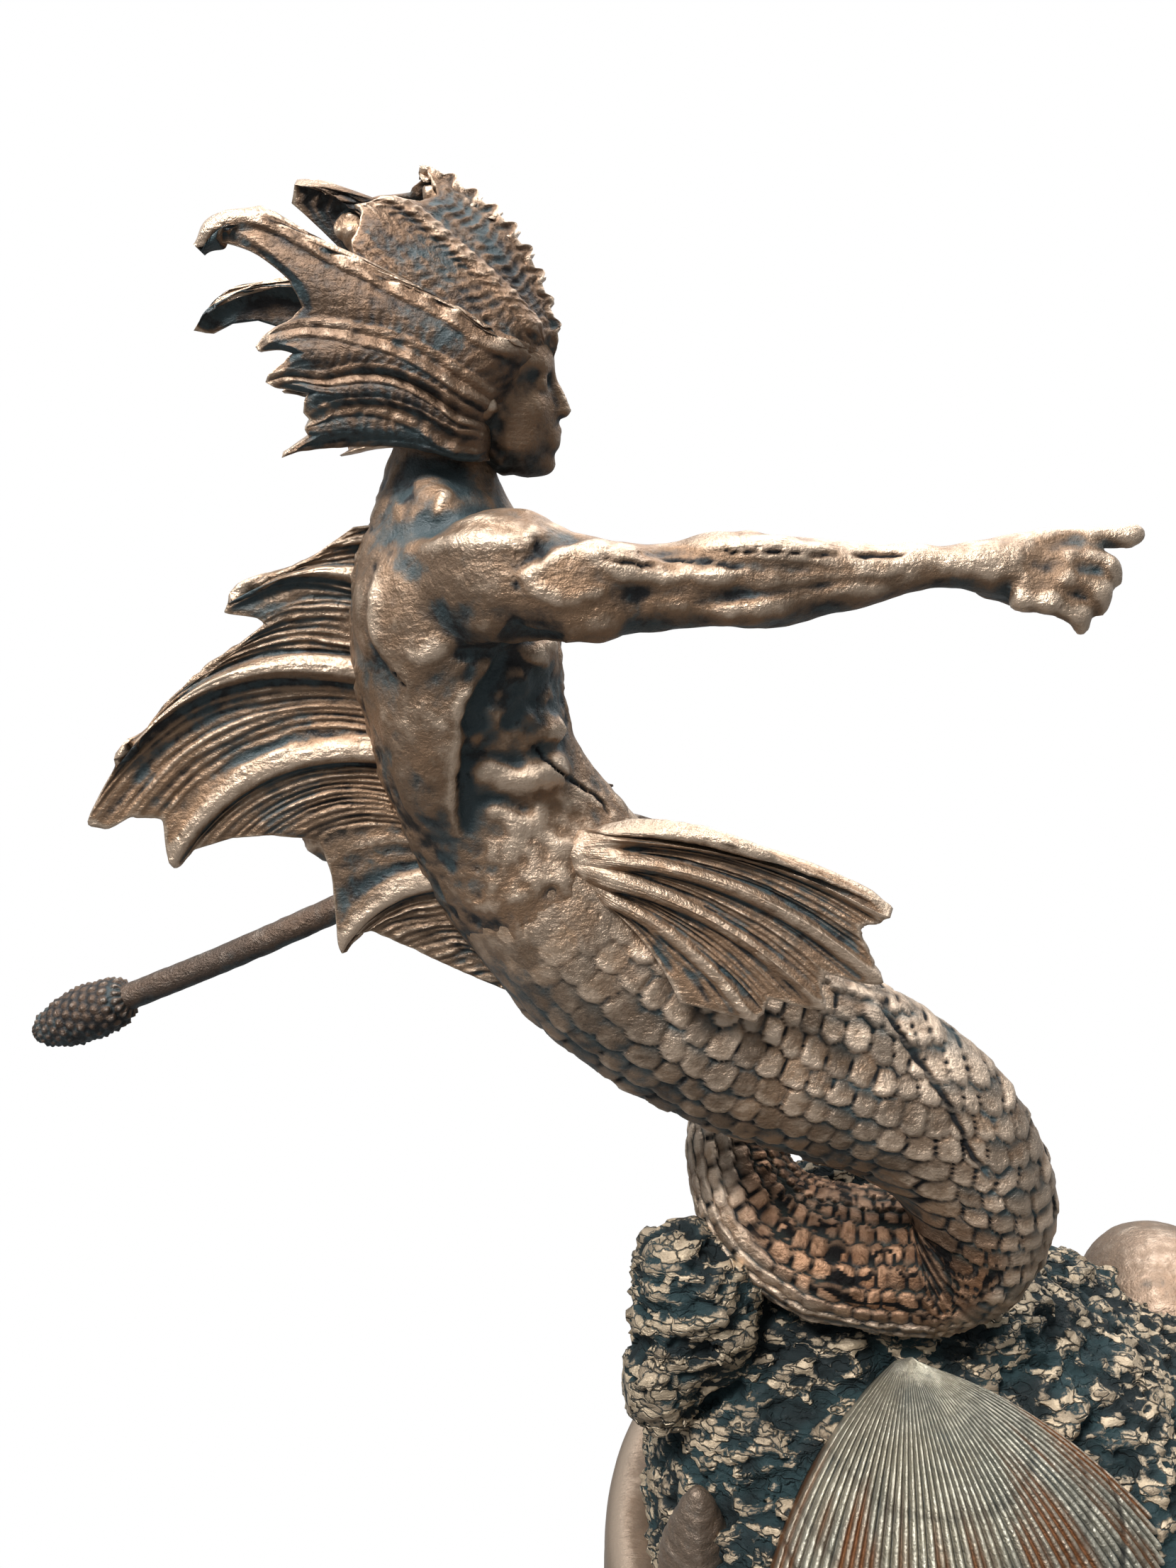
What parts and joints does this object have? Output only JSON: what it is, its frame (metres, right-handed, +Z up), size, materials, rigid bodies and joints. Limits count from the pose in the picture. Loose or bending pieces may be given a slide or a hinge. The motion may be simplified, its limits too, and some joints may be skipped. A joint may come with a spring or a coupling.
{
  "type": "merman statue",
  "caption": "Bronze-finish statue of a pointing merman with a coiled scaly tail, fins and a trident, on a shell-covered rock and a round plinth.",
  "frame": {"origin": "centre of the plinth's underside", "axes": "+Z up, +X the way the figure looks and points, -Y the side towards the picture's camera"},
  "size_m": [0.3645, 0.21, 0.3488],
  "materials": {
    "plinth": "satin bronze paint on cast resin",
    "rock_base": "near-black green paint with bronze dry-brushing on cast resin",
    "cockle_shell": "grey-green and rust brown paint on cast resin",
    "mussel_shell": "satin bronze paint on cast resin",
    "moon_shell": "smooth satin bronze paint on cast resin",
    "whelk_shell": "worn bronze paint on cast resin",
    "merman_body": "worn bronze paint with blue-green patina on cast resin",
    "head_and_crest": "worn bronze paint with blue-green patina on cast resin",
    "back_fin": "worn bronze paint with blue-green patina on cast resin",
    "trident": "dark bronze paint on cast resin"
  },
  "bodies": {
    "root": {"plinth": "plinth", "rock_base": "rock_base", "cockle_shell": "cockle_shell", "mussel_shell": "mussel_shell", "moon_shell": "moon_shell", "whelk_shell": "whelk_shell", "merman_body": "merman_body", "head_and_crest": "head_and_crest", "back_fin": "back_fin", "trident": "trident"}
  },
  "joints": []
}
